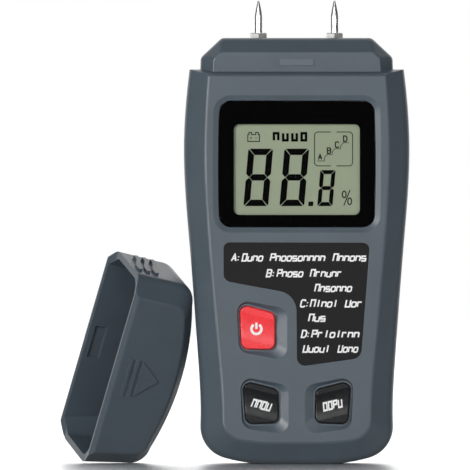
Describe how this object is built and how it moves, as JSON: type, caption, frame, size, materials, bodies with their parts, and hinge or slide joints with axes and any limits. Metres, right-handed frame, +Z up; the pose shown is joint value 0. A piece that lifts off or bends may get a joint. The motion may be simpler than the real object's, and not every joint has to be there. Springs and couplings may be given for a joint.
{
  "type": "pin-type moisture meter",
  "caption": "Hand-held pin moisture meter standing upright with display, three keys, two probe pins and its protective cap leaning beside it.",
  "frame": {"origin": "middle of the meter's flat bottom end, on the plane where the two half shells meet", "axes": "+Z up the meter's length towards the probe pins, -Y out of the front face with the display, +X to the right as the user reads it"},
  "size_m": [0.1026, 0.0447, 0.1357],
  "materials": {
    "housing_plastic": "fine moulded texture, satin",
    "cap_plastic": "fine moulded texture, satin",
    "window_clear": "polished clear acrylic",
    "window_print": "black print behind the clear window",
    "lcd_glass": "grey-green reflective liquid crystal glass",
    "inner_plastic": "natural moulded plastic",
    "strip_rubber": "layered silicone contact strip",
    "board_green": "green solder mask over glass laminate",
    "chip_black": "black epoxy with tinned legs",
    "component_mix": "small electronic components",
    "switch_steel": "tinned switch cover",
    "key_red": "smooth red moulded key",
    "key_black": "smooth black moulded key",
    "label_print": "dark printed film with pale marks",
    "pin_steel": "ground and polished steel",
    "nut_steel": "nickel plated steel",
    "socket_brass": "turned brass",
    "lead_white": "white insulation",
    "lead_red": "red insulation",
    "lead_black": "black insulation",
    "battery_wrap": "plain wrapped steel can",
    "connector_black": "black moulded connector",
    "foam_grey": "soft grey foam",
    "screw_steel": "zinc plated steel"
  },
  "bodies": {
    "meter": {"front_housing": "housing_plastic", "rear_housing": "housing_plastic", "display_window": "window_clear", "window_mask": "window_print", "lcd_panel": "lcd_glass", "lcd_holder": "inner_plastic", "zebra_strips": "strip_rubber", "main_pcb": "board_green", "mcu_chip": "chip_black", "pcb_components": "component_mix", "tact_switches": "switch_steel", "label_panel": "label_print", "left_probe_pin": "pin_steel", "right_probe_pin": "pin_steel", "pin_nuts": "nut_steel", "left_pin_socket": "socket_brass", "right_pin_socket": "socket_brass", "left_pin_lead": "lead_white", "right_pin_lead": "lead_white", "battery": "battery_wrap", "battery_snap_connector": "connector_black", "battery_lead_red": "lead_red", "battery_lead_black": "lead_black", "battery_foam_pad": "foam_grey", "housing_screws": "screw_steel", "pcb_screws": "screw_steel"},
    "power_key": {"power_button": "key_red", "power_plunger": "inner_plastic"},
    "mode_key": {"mode_button": "key_black", "mode_plunger": "inner_plastic"},
    "hold_key": {"hold_button": "key_black", "hold_plunger": "inner_plastic"},
    "battery_cover": {"battery_door": "housing_plastic"},
    "cap": {"protective_cap": "cap_plastic"}
  },
  "joints": [
    {"name": "power_press", "type": "slide", "parent": "meter", "child": "power_key", "axis": [0, 1, 0], "range_m": [0, 0.0005], "stiffness_N_per_m": 1500},
    {"name": "mode_press", "type": "slide", "parent": "meter", "child": "mode_key", "axis": [0, 1, 0], "range_m": [0, 0.0005], "stiffness_N_per_m": 1500},
    {"name": "hold_press", "type": "slide", "parent": "meter", "child": "hold_key", "axis": [0, 1, 0], "range_m": [0, 0.0005], "stiffness_N_per_m": 1500},
    {"name": "battery_door_slide", "type": "slide", "parent": "meter", "child": "battery_cover", "axis": [0, 0, -1], "range_m": [0, 0.05]},
    {"name": "cap_slide", "type": "slide", "parent": "meter", "child": "cap", "axis": [-0.9024, -0.4112, 0.1288], "range_m": [0, 0.05]}
  ]
}
